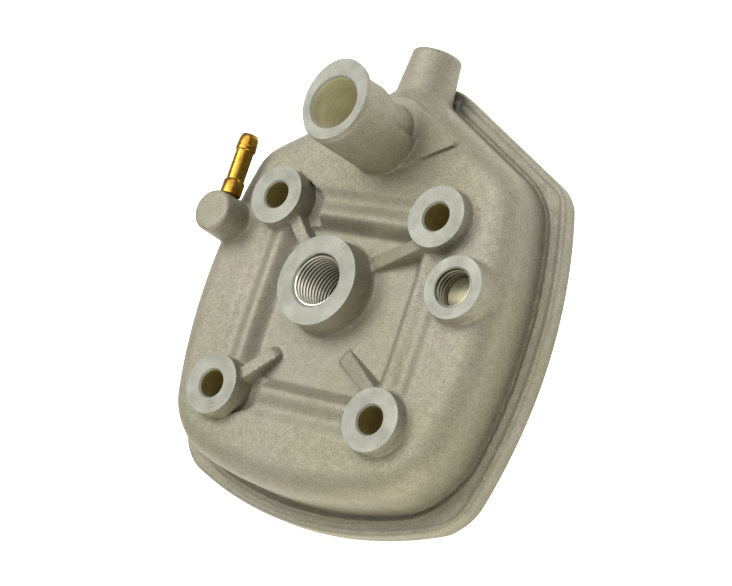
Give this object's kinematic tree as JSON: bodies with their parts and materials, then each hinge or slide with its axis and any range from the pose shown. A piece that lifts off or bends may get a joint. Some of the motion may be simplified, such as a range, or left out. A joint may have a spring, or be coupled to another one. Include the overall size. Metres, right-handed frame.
{
  "type": "cylinder head",
  "caption": "Water-cooled two-stroke cylinder head: cast cover with stud bosses, plug and sensor threads, upright outlet, hose spigot, brass bleed barb and seals.",
  "frame": {"origin": "centre of the square of four stud holes, on the gasket plane", "axes": "+Z along the studs, away from the cylinder; +Y towards the water outlets; +X towards the temperature sensor"},
  "size_m": [0.1066, 0.1265, 0.0445],
  "materials": {
    "casting": "bead-blasted casting with turned faces",
    "barb": "turned",
    "seal": "moulded matte"
  },
  "bodies": {
    "root": {"head_casting": "casting", "bleed_barb": "barb", "chamber_o_ring": "seal", "jacket_seal": "seal", "stud_o_ring_a": "seal", "stud_o_ring_b": "seal", "stud_o_ring_c": "seal", "stud_o_ring_d": "seal"}
  },
  "joints": []
}
